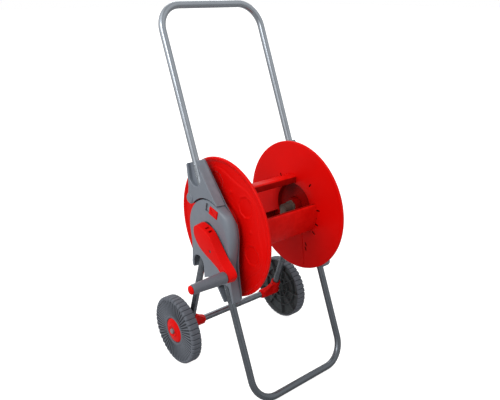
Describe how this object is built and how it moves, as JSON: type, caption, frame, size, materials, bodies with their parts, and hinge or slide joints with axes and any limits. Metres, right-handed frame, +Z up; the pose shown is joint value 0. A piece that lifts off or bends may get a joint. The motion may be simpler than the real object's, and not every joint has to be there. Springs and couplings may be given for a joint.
{
  "type": "garden hose reel cart",
  "caption": "Two-wheeled hose reel cart: tube handle and stand, crank-wound open drum between side casings, swivel water inlet, drum lock slider.",
  "frame": {"origin": "on the ground, below the middle of the bounding box of the whole cart, crank and grip included", "axes": "+Z up, +X along the drum's axis from the crank side to the inlet side, +Y from the stand's foot to the wheels"},
  "size_m": [0.5, 0.3956, 0.9321],
  "materials": {
    "tube_paint": "satin grey powder coat on steel tube",
    "grey_plastic": "satin moulded",
    "dark_plastic": "matt moulded",
    "red_plastic": "semi-gloss moulded",
    "wheel_plastic": "matt moulded",
    "zinc_steel": "zinc plated",
    "seal_rubber": "matt"
  },
  "bodies": {
    "cart_frame": {"handle_tube": "tube_paint", "stand_tube": "tube_paint", "axle_tube": "tube_paint", "strut_left": "tube_paint", "strut_right": "tube_paint", "axle_rod": "zinc_steel", "bracket_screw_left": "zinc_steel", "axle_washer_left": "zinc_steel", "handle_screw_left": "zinc_steel", "stand_screw_left": "zinc_steel", "strut_screw_left": "zinc_steel", "front_casing_screw_left": "zinc_steel", "low_casing_screw_left": "zinc_steel", "cover_screw_left": "zinc_steel", "ear_screw_left": "zinc_steel", "lower_casing_left": "grey_plastic", "upper_cover_left": "grey_plastic", "inner_panel_left": "grey_plastic", "axle_push_cap_left": "grey_plastic", "axle_bracket_left": "red_plastic", "drum_bush_left": "dark_plastic", "bracket_screw_right": "zinc_steel", "axle_washer_right": "zinc_steel", "handle_screw_right": "zinc_steel", "stand_screw_right": "zinc_steel", "strut_screw_right": "zinc_steel", "front_casing_screw_right": "zinc_steel", "low_casing_screw_right": "zinc_steel", "cover_screw_right": "zinc_steel", "ear_screw_right": "zinc_steel", "lower_casing_right": "grey_plastic", "upper_cover_right": "grey_plastic", "inner_panel_right": "grey_plastic", "axle_push_cap_right": "grey_plastic", "axle_bracket_right": "red_plastic", "drum_bush_right": "dark_plastic", "inlet_elbow": "grey_plastic", "inlet_nipple": "grey_plastic", "inlet_seal": "seal_rubber"},
    "drum": {"drum_flange_left": "red_plastic", "drum_flange_right": "red_plastic", "core_slat_1": "red_plastic", "core_slat_2": "red_plastic", "core_slat_3": "red_plastic", "drive_hub": "dark_plastic", "water_hub": "dark_plastic", "hose_connector": "grey_plastic", "crank_arm": "red_plastic", "crank_screw": "zinc_steel", "grip_pin": "red_plastic", "grip_end_cap": "red_plastic"},
    "grip": {"grip_sleeve": "grey_plastic"},
    "wheel_left": {"wheel_left": "wheel_plastic", "hub_cap_left": "red_plastic"},
    "wheel_right": {"wheel_right": "wheel_plastic", "hub_cap_right": "red_plastic"},
    "lock": {"lock_slider": "red_plastic", "lock_clip": "grey_plastic"}
  },
  "joints": [
    {"name": "drum_spin", "type": "hinge", "parent": "cart_frame", "child": "drum", "pos_m": [0.039, -0.01737, 0.4143], "axis": [1, 0, 0], "continuous": true},
    {"name": "grip_spin", "type": "hinge", "parent": "drum", "child": "grip", "pos_m": [-0.198, -0.11734, 0.34299], "axis": [1, 0, 0], "continuous": true},
    {"name": "wheel_left_spin", "type": "hinge", "parent": "cart_frame", "child": "wheel_left", "pos_m": [-0.15, 0.10433, 0.0938], "axis": [1, 0, 0], "continuous": true},
    {"name": "wheel_right_spin", "type": "hinge", "parent": "cart_frame", "child": "wheel_right", "pos_m": [0.228, 0.10433, 0.0938], "axis": [1, 0, 0], "continuous": true},
    {"name": "lock_slide", "type": "slide", "parent": "cart_frame", "child": "lock", "axis": [0, 0.9703, 0.2419], "range_m": [0, 0.015]}
  ]
}
